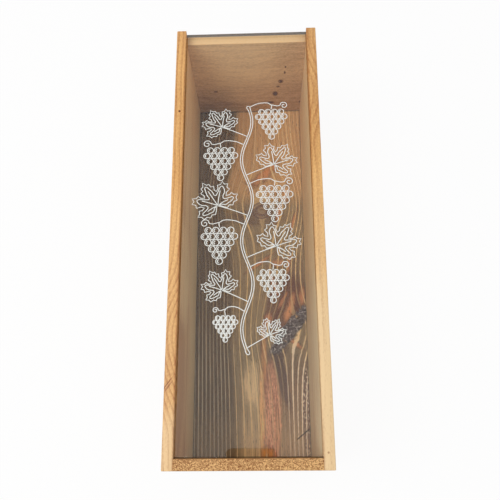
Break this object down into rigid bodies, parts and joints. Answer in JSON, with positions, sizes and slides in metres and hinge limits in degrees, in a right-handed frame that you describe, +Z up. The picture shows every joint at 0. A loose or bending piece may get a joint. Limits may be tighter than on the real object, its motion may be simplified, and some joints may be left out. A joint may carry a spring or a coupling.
{
  "type": "wooden wine box",
  "caption": "Narrow wooden box for a wine bottle, with a dark stained back board and a clear acrylic lid that slides out of grooves over the lower top end.",
  "frame": {"origin": "centre of the box's footprint, on the surface that the back board lies on", "axes": "+X across the box to the right, +Y along it from the bottle's foot to its neck, which is the way the lid slides out, +Z up through the lid"},
  "size_m": [0.112, 0.342, 0.1045],
  "materials": {
    "side_wood": "planed softwood with a light honey stain, satin",
    "end_wood": "planed softwood with a light honey stain, satin",
    "dark_wood": "dark stained softwood with lighter grain lines, satin",
    "clear_acrylic": "clear polished sheet with white engraved ornament",
    "nail_steel": "plain steel wire"
  },
  "bodies": {
    "box": {"left_side": "side_wood", "right_side": "side_wood", "top_end": "end_wood", "bottom_end": "end_wood", "back_board": "dark_wood", "left_side_nails": "nail_steel", "right_side_nails": "nail_steel", "back_nails": "nail_steel"},
    "lid": {"sliding_lid": "clear_acrylic"}
  },
  "joints": [
    {"name": "lid_slide", "type": "slide", "parent": "box", "child": "lid", "axis": [0, 1, 0], "range_m": [0, 0.35]}
  ]
}
